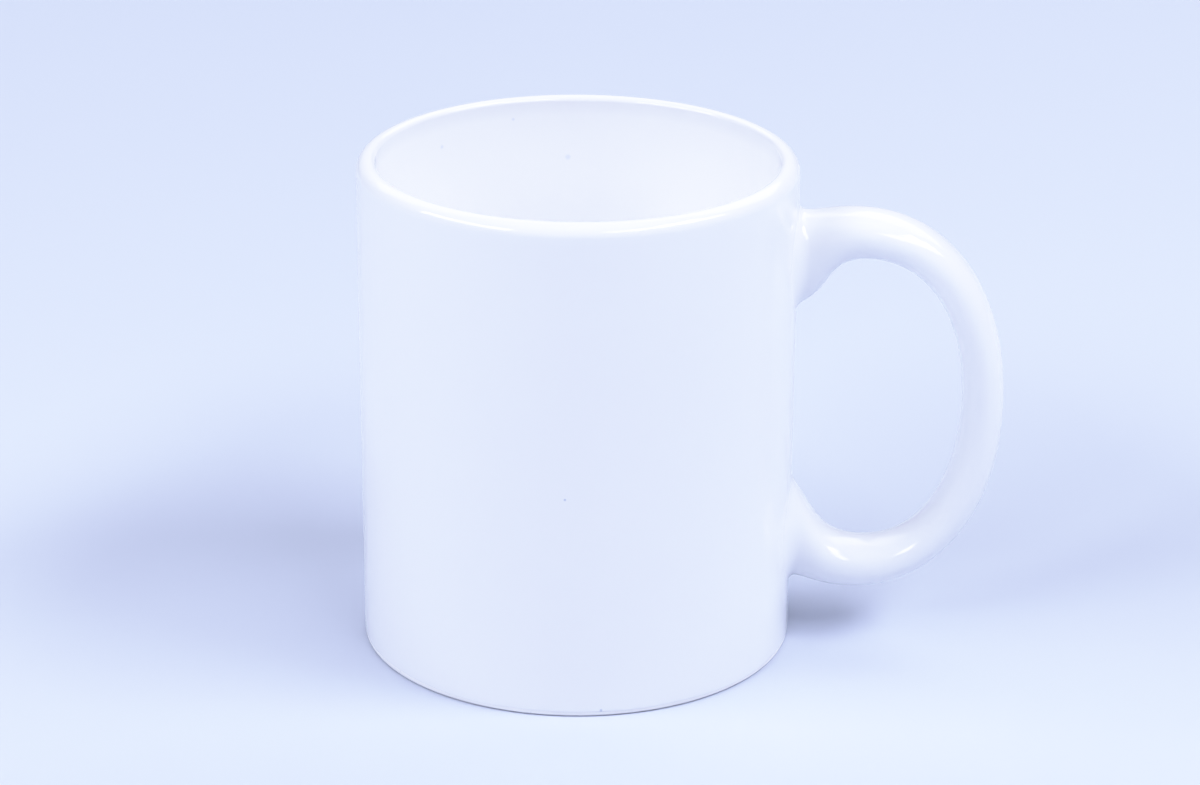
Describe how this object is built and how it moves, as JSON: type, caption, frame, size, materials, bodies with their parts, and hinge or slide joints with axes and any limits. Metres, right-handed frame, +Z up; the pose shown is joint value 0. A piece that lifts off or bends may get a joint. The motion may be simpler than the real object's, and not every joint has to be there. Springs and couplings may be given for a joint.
{
  "type": "ceramic mug",
  "caption": "Straight-sided white glazed ceramic mug with a strap handle, a rolled lip and an unglazed foot ring.",
  "frame": {"origin": "centre of the foot ring's flat face, on the table", "axes": "+Z up out of the mouth, along the cup's axis; +X from the cup out to the handle; +Y across the handle"},
  "size_m": [0.1214, 0.082, 0.095],
  "materials": {
    "clay": "matt fired white clay",
    "slip": "matt fired slip",
    "glaze": "gloss white"
  },
  "bodies": {
    "root": {"cup_body": "clay", "handle": "clay", "upper_slip_joint": "slip", "lower_slip_joint": "slip", "inside_glaze": "glaze", "outside_glaze": "glaze", "handle_glaze": "glaze", "base_glaze": "glaze"}
  },
  "joints": []
}
